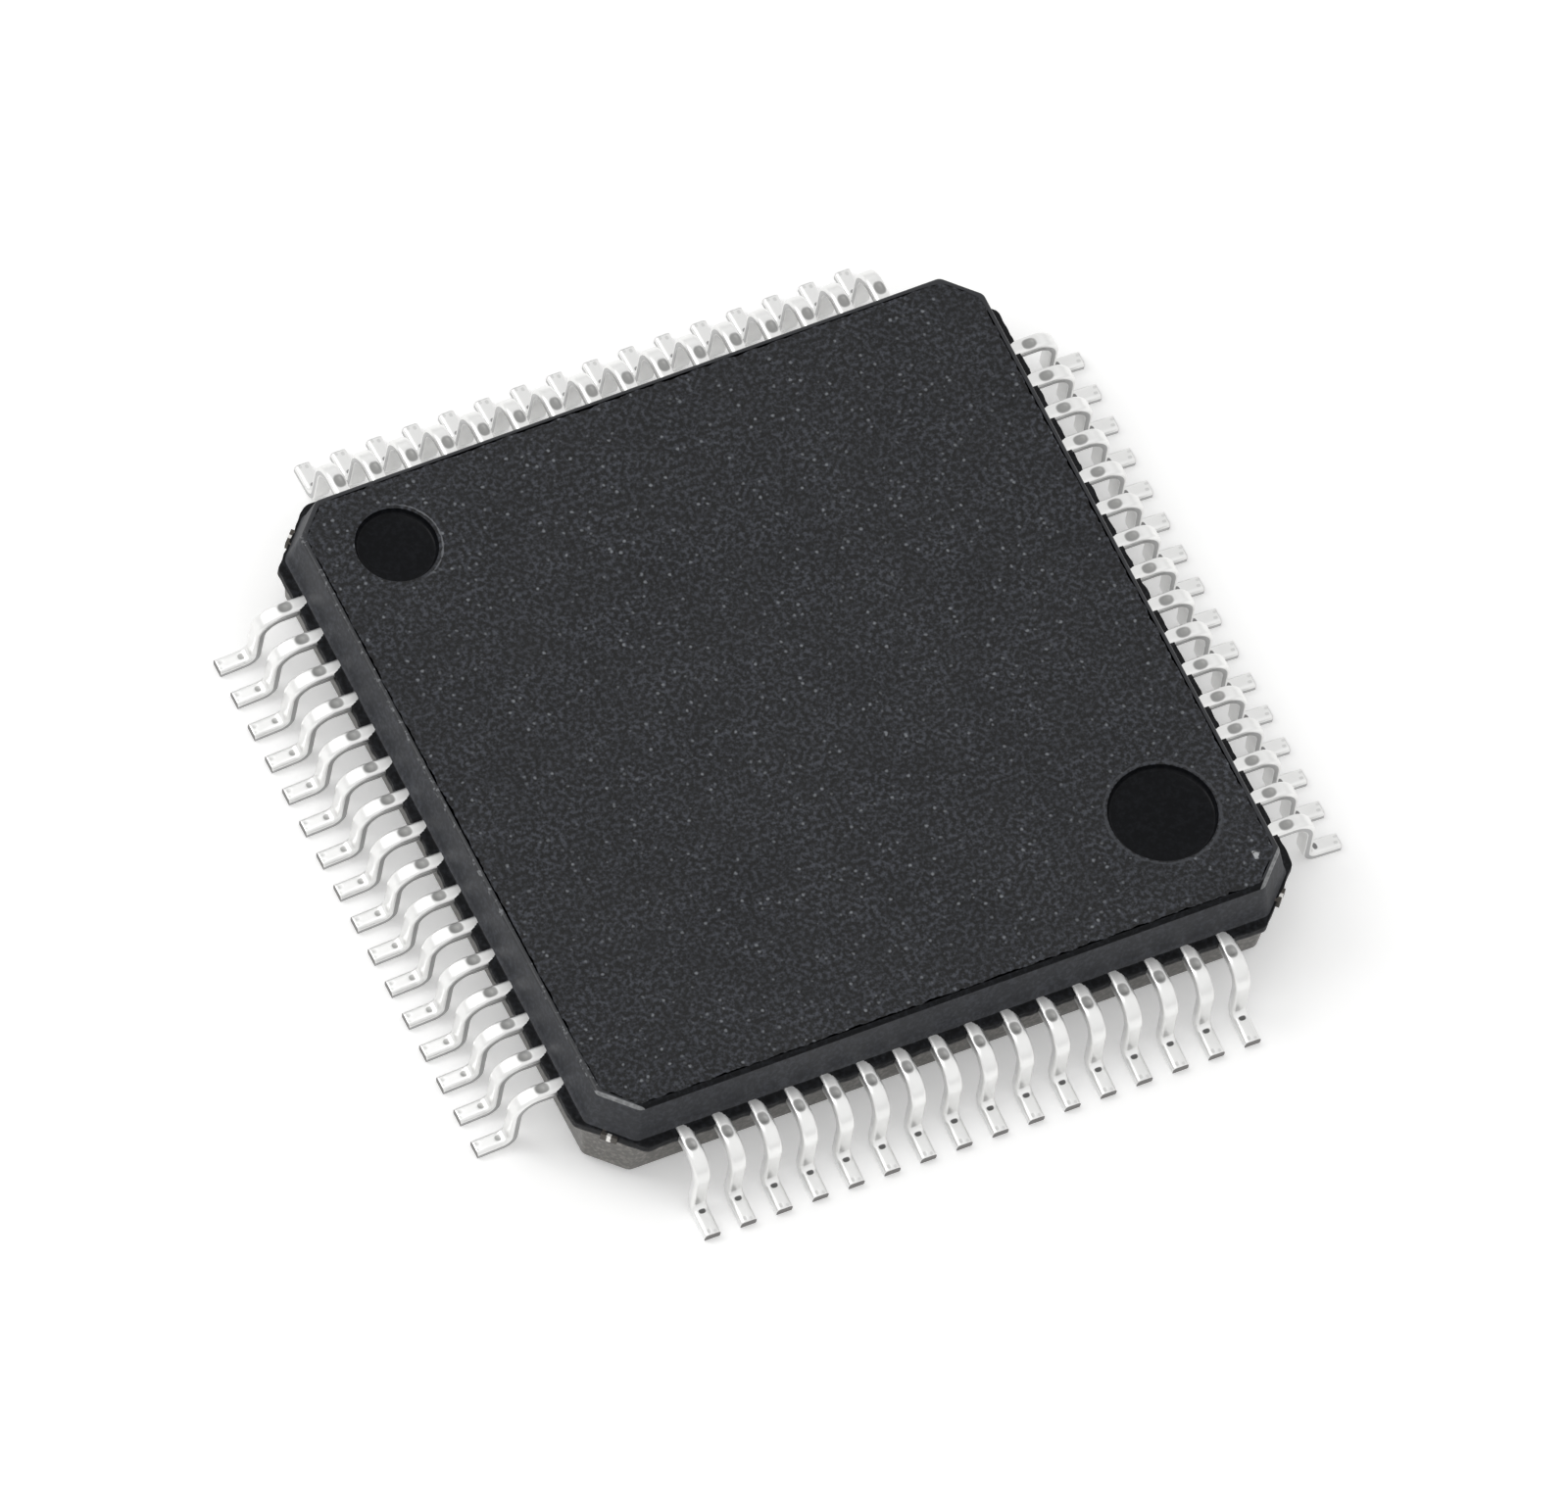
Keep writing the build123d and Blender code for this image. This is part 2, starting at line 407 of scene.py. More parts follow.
def spark_grain_group():
    """Craters, tone and light specks of a spark-eroded mould face; the specks are partly filler and partly
    painted glints.
    """
    tree, given, result = group_tree(
        "spark_grain",
        [("Point", "NodeSocketVector", None), ("Cells", "NodeSocketFloat", 18000.0)],
        ["Height", "Tone", "Specks and glints"])
    point, cells = given[0], given[1]
    craters = put(tree, "ShaderNodeTexVoronoi", {"Vector": point, "Scale": cells},
                  feature="SMOOTH_F1").outputs["Distance"]
    fine = noise_at(tree, point, times(tree, cells, 1.7), 3.0, 0.65)
    broad = noise_at(tree, point, times(tree, cells, 0.12), 2.0)
    height = maths(tree, "ADD", times(tree, craters, 0.6), fine)
    height = maths(tree, "ADD", height, times(tree, broad, 0.5))
    tree.links.new(height, result.inputs[0])
    patchy = noise_at(tree, point, times(tree, cells, 0.95), 2.0, 0.6)
    patches = map_range(tree, broad, 0.35, 0.65, 0.7, 1.15, "LINEAR")
    tree.links.new(times(tree, map_range(tree, patchy, 0.40, 0.72), patches), result.inputs[1])
    # Sparse light specks, partly filler and partly painted glints
    speck_and_glint_cells = put(tree, "ShaderNodeTexVoronoi", {"Vector": point, "Scale": times(tree, cells, 0.55)},
                 feature="F1").outputs
    ragged = maths(tree, "ADD", speck_and_glint_cells["Distance"], times(tree, fine, 0.35))
    near = map_range(tree, ragged, 0.46, 0.26)
    chance = put(tree, "ShaderNodeSeparateColor", {0: speck_and_glint_cells["Color"]}).outputs[0]
    tree.links.new(times(tree, near, map_range(tree, chance, 0.42, 1.0)), result.inputs[2])
    return tree


def round_mark_group():
    """A ragged ring, or a spot where its radius is zero, on the top face."""
    tree, given, result = group_tree(
        "round_mark",
        [("Point", "NodeSocketVector", None), ("Centre", "NodeSocketVector", None),
         ("Radius", "NodeSocketFloat", 0.0), ("Half width", "NodeSocketFloat", 0.00002),
         ("Break-up", "NodeSocketFloat", 0.5)],
        ["Mask"])
    offset = vector_maths(tree, "SUBTRACT", given[0], given[1]).outputs[0]
    flat = vector_maths(tree, "MULTIPLY", offset, (1.0, 1.0, 0.0)).outputs[0]
    distance = vector_maths(tree, "LENGTH", flat).outputs["Value"]
    away = maths(tree, "ABSOLUTE", maths(tree, "SUBTRACT", distance, given[2]))
    ragged = maths(tree, "SUBTRACT", noise_at(tree, given[0], 16000.0, 3.0), 0.5)
    share = maths(tree, "ADD", maths(tree, "DIVIDE", away, given[3]),
                  times(tree, ragged, times(tree, given[4], 6.0)))
    tree.links.new(map_range(tree, share, 1.1, 0.6), result.inputs[0])
    return tree


def cloud_group():
    """A slow change of tone, for handling marks and uneven gloss."""
    tree, given, result = group_tree(
        "cloud",
        [("Point", "NodeSocketVector", None), ("Scale", "NodeSocketFloat", 900.0),
         ("Low", "NodeSocketFloat", 0.0), ("High", "NodeSocketFloat", 1.0)],
        ["Value"])
    soft = noise_at(tree, given[0], given[1], 3.0)
    tree.links.new(map_range(tree, soft, 0.3, 0.7, given[2], given[3], "LINEAR"), result.inputs[0])
    return tree


def oval_mark_group():
    """One soft oval mark on the strip, placed by the strip's own coordinates."""
    tree, given, result = group_tree(
        "oval_mark",
        [("Across", "NodeSocketFloat", 0.0), ("Along", "NodeSocketFloat", 0.0),
         ("Middle across", "NodeSocketFloat", 0.0), ("Middle along", "NodeSocketFloat", 0.0),
         ("Half width", "NodeSocketFloat", 0.05), ("Half length", "NodeSocketFloat", 0.07)],
        ["Mask"])
    powers = []
    for axis in range(2):
        share = maths(tree, "DIVIDE", maths(tree, "SUBTRACT", given[axis], given[axis + 2]), given[axis + 4])
        powers.append(maths(tree, "POWER", maths(tree, "ABSOLUTE", share), 2.6))
    tree.links.new(map_range(tree, maths(tree, "ADD", *powers), 1.35, 0.55), result.inputs[0])
    return tree


GROUPS = {"spark_grain": spark_grain_group, "cloud": cloud_group,
          "oval_mark": oval_mark_group, "round_mark": round_mark_group}


def shared_groups():
    """The shared node groups by name, each built once."""
    return {name: bpy.data.node_groups.get(name) or maker() for name, maker in GROUPS.items()}


# Materials of the moulding

def moulding_material(name, settings, groups, finish, colour, marked):
    """Filled black epoxy in one finish of the mould face, with the top face's marks where marked."""
    depth, contrast, tone, roughness, specular, specks_and_glints = finish
    material, tree, output, point = new_material(name)
    grain = place_group(tree, groups["spark_grain"], {"Point": point, "Cells": 1.0 / settings.grain_size})
    cloud = place_group(tree, groups["cloud"],
                        {"Point": point, "Scale": 730.0, "Low": 0.85, "High": 1.15})[0]
    base = shade(colour, tone)
    shown = blend_colours(tree, grain["Tone"], shade(base, 1.0 - 0.7 * contrast),
                          shade(base, 1.0 + 3.5 * contrast))
    # Blends in the light specks, which are partly filler and partly painted glints
    shown = blend_colours(tree, times(tree, grain["Specks and glints"], specks_and_glints), shown, SPECK_AND_GLINT)
    if marked:
        shown = add_face_marks(tree, settings, groups, point, shown)
    principled(tree, output, {"Specular IOR Level": specular, "IOR": 1.5, "Base Color": shown,
                              "Roughness": times(tree, cloud, roughness)}, grain["Height"], 1.0, depth)
    return material


def add_face_marks(tree, settings, groups, point, colour):
    """A painted highlight on the right half of the pin recess's rim, a thin light ring round the ejector
    recess and one chipped spot by a corner of the top face.
    """
    pin = (settings.pin_mark_x, settings.pin_mark_y, 0.0)
    ejector = (settings.ejector_x, settings.ejector_y, 0.0)
    x, _, z = axes(tree, point)
    upper = map_range(tree, z, PARTING_Z, TOP_Z - 2 * settings.recess_depth)
    # The pin recess's rim gets its painted highlight on its right half only
    pin_highlight_side = map_range(tree, x, settings.pin_mark_x, settings.pin_mark_x + settings.pin_mark_radius)
    marks = (
        (pin, settings.pin_mark_radius + 0.050 * MM, 0.011 * MM, 0.6, PIN_RIM_HIGHLIGHT, pin_highlight_side),
        (ejector, settings.ejector_radius + 0.035 * MM, 0.018 * MM, 0.6, EJECTOR_RING, 0.8),
        (CHIPPED_SPOT, 0.0, 0.055 * MM, 0.45, CHIPPED, 1.0),
    )
    for centre, radius, half_width, break_up, mark_colour, strength in marks:
        mark = place_group(tree, groups["round_mark"], {
            "Point": point, "Centre": centre, "Radius": radius, "Half width": half_width,
            "Break-up": break_up})[0]
        colour = blend_colours(tree, times(tree, times(tree, mark, strength), upper), colour, mark_colour)
    return colour


def edge_material(settings, groups):
    """The thin smooth band along the top edges, with painted highlights on the left side and at the front
    corners, and painted shade along the front.
    """
    material, tree, output, point = new_material("moulding_edge")
    x, y, _ = axes(tree, point)
    band_start = WALL_HALF - (TOP_Z - PARTING_Z) * tan(UPPER_DRAFT) - 3.2 * EDGE_BAND
    leftward, frontward = [map_range(tree, times(tree, part, -1.0), band_start, band_start + EDGE_BAND)
                           for part in (x, y)]
    reach = maths(tree, "ADD", maths(tree, "ABSOLUTE", x), maths(tree, "ABSOLUTE", y))
    corner_start = 2 * WALL_HALF - CORNER_CUT - 7.2 * EDGE_BAND
    cornerward = map_range(tree, reach, corner_start, corner_start + 0.4 * EDGE_BAND)
    cornerward = times(tree, cornerward, map_range(tree, y, 0.0, -CORNER_CUT))
    streaks = noise_at(tree, point, 17000.0, 3.0)
    # Light dashes on the left edge and a light line on the front corner edges are painted highlights
    highlight_dashes = map_range(tree, streaks, 0.56, 0.70)
    highlight_ridge = map_range(tree, streaks, 0.30, 0.70, 0.55, 1.0)
    painted_edge_highlights = maths(tree, "MAXIMUM", times(tree, leftward, highlight_dashes), times(tree, cornerward, highlight_ridge))
    base = settings.mould_colour
    plain = blend_colours(tree, streaks, shade(base, 0.8), shade(base, 2.0))
    # The front edge is painted darker, as painted shade
    front_painted_shade = times(tree, frontward, map_range(tree, streaks, 0.36, 0.50, 0.35, 1.0))
    colour = blend_colours(tree, front_painted_shade, plain, shade(base, 0.35))
    bright = blend_colours(tree, cornerward, LEFT_EDGE_HIGHLIGHT, CORNER_EDGE_HIGHLIGHT)
    cloud = place_group(tree, groups["cloud"],
                        {"Point": point, "Scale": 2500.0, "Low": 0.35, "High": 0.5})[0]
    principled(tree, output, {
        "IOR": 1.5, "Specular IOR Level": change(tree, frontward, 0.45, 0.10), "Roughness": cloud,
        "Base Color": blend_colours(tree, painted_edge_highlights, colour, bright)}, streaks, 0.6, 0.004 * MM)
    return material


def moulding_materials(settings, groups):
    """The finishes of the moulding, in the order that the body's faces use."""
    made = []
    for place, (name, finish) in enumerate(FINISHES.items()):
        # The lower half's colour holds painted light from the floor
        colour = settings.floor_lit_lower_colour if place == LOWER else settings.mould_colour
        made.append(moulding_material(name, settings, groups, finish, colour, place == GRAINED))
    return [*made, edge_material(settings, groups)]


# Geometry of the moulding

def outline(half, cut, radius):
    """A square with cut and rounded corners, run round from the front left corner."""
    tangent = radius * tan(pi / 8)
    straight = half - cut - tangent
    side_stops = spread(-straight, -SIDE_ZONE, END_STEPS)
    side_stops += spread(-SIDE_ZONE, SIDE_ZONE, round(2 * SIDE_ZONE / LEAD_PITCH) * STEPS_PER_PITCH)
    side_stops += spread(SIDE_ZONE, straight, END_STEPS)
    slant = tangent * Vector((sqrt(0.5), sqrt(0.5)))
    cut_start = Vector((half - cut, -half)) + slant
    cut_end = Vector((half, -half + cut)) - slant
    first_centre = Vector((straight, -half + radius))
    second_centre = Vector((half - radius, -straight))
    quarter = [Vector((x, -half)) for x in side_stops]
    quarter += [first_centre + radius * Vector((cos(angle), sin(angle)))
                for angle in spread(-pi / 2, -pi / 4, ARC_STEPS)]
    quarter += [cut_start.lerp(cut_end, share) for share in spread(0.0, 1.0, CUT_STEPS)]
    quarter += [second_centre + radius * Vector((cos(angle), sin(angle)))
                for angle in spread(-pi / 4, 0.0, ARC_STEPS)]
    spins = [Matrix.Rotation(turn * pi / 2, 2) for turn in range(4)]
    return [spin @ point for spin in spins for point in quarter]


def wall_ring(inset, z):
    """A ring of the drafted walls, drawn in by inset from the parting plane's walls."""
    cut = CORNER_CUT - inset * (2.0 - sqrt(2.0))
    return [Vector((*point, z)) for point in outline(WALL_HALF - inset, cut, CORNER_ROUND)]


def lead_offset(point):
    """How far a point of a side lies from the middle of its nearest lead."""
    if abs(point.x) > abs(point.y):
        along = point.y if point.x > 0 else -point.y
    else:
        along = -point.x if point.y > 0 else point.x
    if abs(along) > LEADS_PER_SIDE * LEAD_PITCH / 2:
        return LEAD_PITCH / 2
    return along - (round(along / LEAD_PITCH - 0.5) + 0.5) * LEAD_PITCH


def flange_ring(share, height):
    """A ring of the flange: share runs from its root at 0 to its edge at 1."""
    half = WALL_HALF + share * FLANGE_REACH
    cut_distance = (2 * WALL_HALF - CORNER_CUT) / sqrt(2) + share * CORNER_FLASH
    ring = []
    for flat in outline(half, 2 * half - sqrt(2) * cut_distance, CORNER_ROUND):
        point = Vector((*flat, 0.0))
        side = lead_offset(point) / LEAD_WIDTH
        between = smooth_step(0.5, 0.62, abs(side))
        point += point.normalized() * (share * between * rough(point, 0.16 * MM, 0.022 * MM))
        ring.append(Vector((point.x, point.y, height(point, side, share))))
    return ring


def flange_top(point, side, share, settings):
    """Height of the flange's upper skin: resin between the leads and over one corner of each."""
    if abs(side) > 0.75:
        return LEAD_TOP_Z + rough(point, 0.10 * MM, 0.004 * MM)
    limit = 0.05 + 0.50 * min(1.0, share * FLANGE_REACH / settings.flash_reach)
    limit += rough(point, 0.35 * MM, 0.08)
    covered = smooth_step(limit - 0.10, limit + 0.10, side)
    other = smooth_step(0.46 + 0.1 * share, 0.54 + 0.1 * share, -side)
    return LEAD_TOP_Z - SKIN_SINK + max(covered, other) * SKIN_THICKNESS


def flange_bottom(point, side, share):
    """Height of the flange's lower skin, hidden inside the metal where a lead runs."""
    return LEAD_TOP_Z - STRIP + (1.0 - smooth_step(0.42, 0.50, abs(side))) * UNDER_SKIN


def add_recess(bm, x, y, radius, depth):
    """A recess with a rounded rim, a sloped wall and a slightly dished floor; returns its rim."""
    floor_radius = radius - depth * tan(RECESS_SLOPE)
    profile = [(radius + RECESS_RIM * (1 - sin(turn)), RECESS_RIM * (1 - cos(turn)), GRAINED)
               for turn in spread(0.0, pi / 2, 4)]
    profile += [(radius - 0.2 * (radius - floor_radius), 0.3 * depth, POLISHED),
                (floor_radius + 0.25 * RECESS_FOOT, depth - 0.7 * RECESS_FOOT, POLISHED),
                (floor_radius - 0.35 * RECESS_FOOT, depth - 0.2 * RECESS_FOOT, POLISHED),
                (floor_radius - 1.2 * RECESS_FOOT, depth, POLISHED),
                (floor_radius * 0.5, depth, POLISHED)]
    turns = spread(0.0, 2 * pi, RECESS_STEPS)
    rings = [add_ring(bm, [(x + reach * cos(turn), y + reach * sin(turn), TOP_Z - sunk) for turn in turns])
             for reach, sunk, _ in profile]
    for index in range(len(rings) - 1):
        join_rings(bm, rings[index], rings[index + 1], profile[index + 1][2])
    middle = bm.verts.new((x, y, TOP_Z - depth))
    for index in range(RECESS_STEPS):
        add_face(bm, (rings[-1][index], rings[-1][(index + 1) % RECESS_STEPS], middle), POLISHED)
    return rings[0]


def fill_level(bm, rings, spacing, material):
    """Fills the level area between an outer ring and the rims of any holes in it."""
    points, edges, owners = [], [], []
    for ring in rings:
        start = len(points)
        points += [vert.co.to_2d() for vert in ring]
        owners += ring
        edges += [(start + index, start + (index + 1) % len(ring)) for index in range(len(ring))]
    level = rings[0][0].co.z
    reach = max(point.x for point in points) - spacing
    clearance = spacing * GRID_CLEARANCE
    holes = []
    for ring in rings[1:]:
        middle = sum((vert.co for vert in ring), Vector()) / len(ring)
        holes.append((middle.to_2d(), (ring[0].co - middle).length + clearance))
    steps = round(2 * reach / spacing)
    stops = [-reach + 2 * reach * step / steps for step in range(steps + 1)]
    for y in stops:
        for x in stops:
            point = Vector((x, y))
            clear = abs(x) + abs(y) < reach * 2 - CORNER_CUT
            if clear and all((point - middle).length > radius for middle, radius in holes):
                points.append(point)
    places, _, triangles, sources = geometry.delaunay_2d_cdt(points, edges, [], 0, TINY)[:4]
    verts = []
    for place, source in zip(places, sources):
        owned = [item for item in source if item < len(owners)]
        verts.append(owners[owned[0]] if owned else bm.verts.new((place.x, place.y, level)))
    for triangle in triangles:
        middle = sum((places[index] for index in triangle), Vector((0.0, 0.0))) / 3
        inside_hole = any((middle - hole).length < radius - clearance - TINY for hole, radius in holes)
        if not inside_hole and max(abs(middle.x), abs(middle.y)) <= reach + spacing:
            add_face(bm, [verts[index] for index in triangle], material)


def draft_levels(height, draft, edge):
    """(inset, height) pairs up one drafted wall and over its rounded edge."""
    rise = height - edge * (1 - sin(draft))
    pairs = [(share * rise * tan(draft), share * rise) for share in spread(0.02, 1.0, WALL_STEPS)]
    middle = rise * tan(draft) + edge * cos(draft)
    for step in range(ROUND_STEPS + 1):
        angle = draft + (pi / 2 - draft) * step / ROUND_STEPS
        pairs.append((middle - edge * cos(angle), height - edge + edge * sin(angle)))
    return pairs


def fill_body(bm, settings):
    """The whole moulding as one closed skin."""
    lower = draft_levels(PARTING_Z - BOTTOM_Z, LOWER_DRAFT, settings.edge_round)
    upper = draft_levels(TOP_Z - PARTING_Z, UPPER_DRAFT, settings.edge_round)
    bands = [(wall_ring(inset, PARTING_Z - height), LOWER)
             for inset, height in reversed(lower) if height > STRIP / 2]
    shares = [step / FLANGE_RINGS for step in range(FLANGE_RINGS + 1)]
    bands += [(flange_ring(share, flange_bottom), PARTED) for share in shares[::2]]
    for level in (0.25, 0.5, 0.75):
        z = LEAD_TOP_Z - STRIP + level * STRIP
        bands.append((flange_ring(1.0, lambda point, side, share: z), PARTED))
    for share in reversed(shares):
        bands.append((flange_ring(share, lambda point, side, at: flange_top(point, side, at, settings)),
                      PARTED))
    for place, (inset, height) in enumerate(upper):
        if height > STRIP / 2 + WALL_START:
            finish = EDGE if place >= len(upper) - ROUND_STEPS else SATIN
            bands.append((wall_ring(inset, PARTING_Z + height), finish))
    rim = wall_ring(upper[-1][0] + EDGE_BAND, TOP_Z)
    for point in rim:
        shift = 1.0 + sum(rough(point, size, amount) for size, amount in EDGE_WAVES)
        point.xy = point.xy * shift
    bands.append((rim, EDGE))
    rings = [add_ring(bm, points) for points, _ in bands]
    for index in range(len(rings) - 1):
        join_rings(bm, rings[index], rings[index + 1], bands[index + 1][1])
    pin_rim = add_recess(bm, settings.pin_mark_x, settings.pin_mark_y,
                         settings.pin_mark_radius, settings.recess_depth)
    ejector_rim = add_recess(bm, settings.ejector_x, settings.ejector_y,
                             settings.ejector_radius, settings.recess_depth)
    fill_level(bm, [rings[-1], pin_rim, ejector_rim], FACE_GRID, GRAINED)
    fill_level(bm, [rings[0]], FACE_GRID, GRAINED)


# Materials of the strip metal

def tin_material(settings, groups, name, marks):
    """Bright tin plate with soft marks, placed by the strip's own layer of coordinates; the shoulder marks
    are painted reflection, and the tone of the heel dots differs per row as painted shade.
    """
    material, tree, output, point = new_material(name)
    across, along, _ = axes(tree, put(tree, "ShaderNodeUVMap", uv_map="strip").outputs[0])
    cloud = place_group(tree, groups["cloud"],
                        {"Point": point, "Scale": 3000.0, "Low": 0.0, "High": 1.0})[0]
    shown = blend_colours(tree, cloud, shade(settings.tin_colour, 1.0), shade(settings.tin_colour, 0.93))
    for middle_across, middle_along, half_width, half_length, mark_colour, strength in marks:
        mark = place_group(tree, groups["oval_mark"], {
            "Across": across, "Along": along, "Middle across": middle_across,
            "Middle along": middle_along, "Half width": half_width, "Half length": half_length})[0]
        shown = blend_colours(tree, times(tree, mark, strength), shown, mark_colour)
    principled(tree, output, {"Metallic": 1.0, "Base Color": shown,
                              "Roughness": change(tree, cloud, 0.30, 0.38)},
               noise_at(tree, point, 60000.0, 2.0), 0.35, 0.001 * MM)
    return material


def sheared_material(groups, name, tone, roughness):
    """A stamped side or a cut end of the strip: streaked and duller than the plated faces."""
    material, tree, output, point = new_material(name)
    stretched = vector_maths(tree, "MULTIPLY", point, (1.0, 1.0, 0.15)).outputs[0]
    streaks = noise_at(tree, stretched, 45000.0, 3.0)
    cloud = place_group(tree, groups["cloud"],
                        {"Point": point, "Scale": 5000.0, "Low": 0.0, "High": 1.0})[0]
    mixed = times(tree, maths(tree, "ADD", streaks, cloud), 0.5)
    principled(tree, output, {
        "Metallic": 1.0, "Base Color": blend_colours(tree, mixed, shade(tone, 0.75), shade(tone, 1.15)),
        "Roughness": map_range(tree, mixed, 0.3, 0.7, roughness - 0.06, roughness + 0.06)},
        streaks, 0.5, 0.002 * MM)
    return material


# Geometry of the leads

def lead_path():
    """Stations along the middle of the strip, from the inner tip out to the toe.

    Each station is (out, height, slope of the strip, distance from the wall).
    """
    stations = []

    def add(out, height, slope):
        travelled = out - WALL_HALF
        if stations:
            travelled = stations[-1][3] + sqrt((out - stations[-1][0]) ** 2 + (height - stations[-1][1]) ** 2)
        stations.append((out, height, slope, travelled))

    shoulder_start = RISER - SHOULDER_RADIUS
    shoulder_z = PARTING_Z - SHOULDER_RADIUS
    toe_out = TOE_REACH - STRIP / 2 * sin(FOOT_ANGLE)
    toe_z = STRIP / 2 * cos(FOOT_ANGLE)
    heel_out = RISER + HEEL_RADIUS
    heel_end = heel_out - HEEL_RADIUS * sin(FOOT_ANGLE)
    foot = toe_out - heel_end
    heel_z = toe_z + foot * tan(FOOT_ANGLE) + HEEL_RADIUS * cos(FOOT_ANGLE)
    flat_steps = round((shoulder_start - SEAT_INNER) / PATH_STEP)
    for out in (TIP_REACH, TIP_REACH + TIP_STRAIGHT, *spread(SEAT_INNER, shoulder_start, flat_steps)):
        add(out, PARTING_Z, 0.0)
    for angle in spread(0.0, pi / 2, round(SHOULDER_RADIUS * pi / 2 / PATH_STEP)):
        add(shoulder_start + SHOULDER_RADIUS * sin(angle), shoulder_z + SHOULDER_RADIUS * cos(angle), angle)
    for height in spread(shoulder_z, heel_z, round((shoulder_z - heel_z) / PATH_STEP)):
        add(RISER, height, pi / 2)
    for angle in spread(0.0, pi / 2 - FOOT_ANGLE, round(HEEL_RADIUS * pi / 2 / PATH_STEP) + 3):
        add(heel_out - HEEL_RADIUS * cos(angle), heel_z - HEEL_RADIUS * sin(angle), pi / 2 - angle)
    for share in spread(0.0, 1.0, round(foot / PATH_STEP)) + [1.0]:
        add(heel_end + foot * share,
            heel_z - HEEL_RADIUS * cos(FOOT_ANGLE) - foot * share * tan(FOOT_ANGLE), FOOT_ANGLE)
    return stations


def lead_section(half_width):
    """Points round the strip's section, from the upper left: (across, up, kind of face after it)."""
    flat = half_width - TOP_EDGE
    top = [(flat * share, STRIP / 2) for share in (-1.0, -0.66, -0.33, 0.0, 0.33, 0.66)]
    right = [(flat + TOP_EDGE * cos(angle), STRIP / 2 - TOP_EDGE + TOP_EDGE * sin(angle))
             for angle in spread(pi / 2, 0.0, 5)]
    right.append((half_width, STRIP / 2 - TOP_EDGE))
    right += [(half_width - UNDER_EDGE * (1 - cos(angle)), UNDER_EDGE * (1 - sin(angle)) - STRIP / 2)
              for angle in (0.0, pi / 6, pi / 3, pi / 2)]
    points = top + right + [(-across, up) for across, up in reversed(right[1:])]
    sides = (len(top) + 5, len(points) - 6)
    return [(*point, SHEARED if index in sides else TINNED) for index, point in enumerate(points)]


def dent(across, along, mark):
    """How deep a mark lowers the upper face at one place."""
    across_share = (across / MM - mark[0]) / mark[2]
    along_share = (along / MM - mark[1]) / mark[3]
    return DENT_DEPTH * smooth_step(1.3, 0.2, across_share ** 2 + along_share ** 2)


def add_lead(bm, layer, index, stations, marks):
    """One lead of the front row, swept along its path."""
    offset = index - (LEADS_PER_SIDE - 1) / 2
    middle, tip_middle = offset * LEAD_PITCH, offset * TIP_PITCH
    rings, places = [], []
    for out, height, slope, travelled in stations:
        share = linear_step(TIP_REACH + TIP_STRAIGHT, SEAT_INNER, out) if travelled < 0 else 1.0
        across_middle = tip_middle + (middle - tip_middle) * share
        ring, place = [], []
        for across, up, kind in lead_section((TIP_WIDTH + (LEAD_WIDTH - TIP_WIDTH) * share) / 2):
            if up > 0:
                up -= sum(dent(across, travelled, mark) for mark in marks)
            ring.append((across_middle + across, -(out + up * sin(slope)), height + up * cos(slope)))
            shift = 0.0 if up > -STRIP / 4 else UNDERSIDE_SHIFT
            place.append((across / MM + shift, travelled / MM, kind))
        rings.append(add_ring(bm, ring))
        places.append(place)
    count = len(rings[0])
    for station in range(len(rings) - 1):
        inner = stations[station][3] < BARE_FROM
        for corner in range(count):
            following = (corner + 1) % count
            corners = [(station, corner), (station, following),
                       (station + 1, following), (station + 1, corner)]
            face = add_face(bm, [rings[at][spot] for at, spot in corners],
                            BARE if inner else places[station][corner][2])
            for loop, (at, spot) in zip(face.loops, corners):
                loop[layer].uv = places[at][spot][:2]
    close_end(bm, rings[0], BARE)
    close_end(bm, rings[-1], CUT_END)


def close_end(bm, ring, material):
    """Closes one end of a lead with a flat face, made of a band round its edge and a middle face."""
    middle = sum((vert.co for vert in ring), Vector()) / len(ring)
    inner = add_ring(bm, [middle + (vert.co - middle) * 0.9 for vert in ring])
    join_rings(bm, ring, inner, material, smooth=False)
    add_face(bm, inner, material, smooth=False)


def fill_row(bm, angle, marks):
    """Sixteen leads of one side, turned to their place."""
    layer = bm.loops.layers.uv.new("strip")
    stations = lead_path()
    for index in range(LEADS_PER_SIDE):
        add_lead(bm, layer, index, stations, marks)
    bmesh.ops.rotate(bm, verts=bm.verts, cent=(0, 0, 0), matrix=Matrix.Rotation(radians(angle), 3, "Z"))


# Materials of the parts inside the moulding

def inner_material(name, colour, metallic, roughness, scale, depth, contrast=0.25):
    """A plain inner part with its own fine texture."""
    material, tree, output, point = new_material(name)
    speckle = noise_at(tree, point, scale, 4.0)
    factor = map_range(tree, speckle, 0.3, 0.7)
    principled(tree, output, {
        "Metallic": metallic,
        "Base Color": blend_colours(tree, factor, shade(colour, 1 - contrast), shade(colour, 1 + contrast)),
        "Roughness": map_range(tree, speckle, 0.3, 0.7, roughness - 0.05, roughness + 0.05)},
        speckle, 0.4, depth)
    return material


def die_material():
    """Polished silicon with rows of fine cells on it."""
    material, tree, output, point = new_material("silicon")
    cells = put(tree, "ShaderNodeTexBrick",
                {"Vector": point, "Color1": (0.10, 0.11, 0.16, 1.0), "Color2": (0.16, 0.15, 0.20, 1.0),
                 "Mortar": (0.22, 0.20, 0.17, 1.0), "Scale": 4000.0, "Mortar Size": 0.02}).outputs
    principled(tree, output, {"Metallic": 0.6, "Base Color": cells[0],
                              "Roughness": map_range(tree, cells["Fac"], 0.0, 1.0, 0.12, 0.3)},
               None, 0.0, 0.0)
    return material


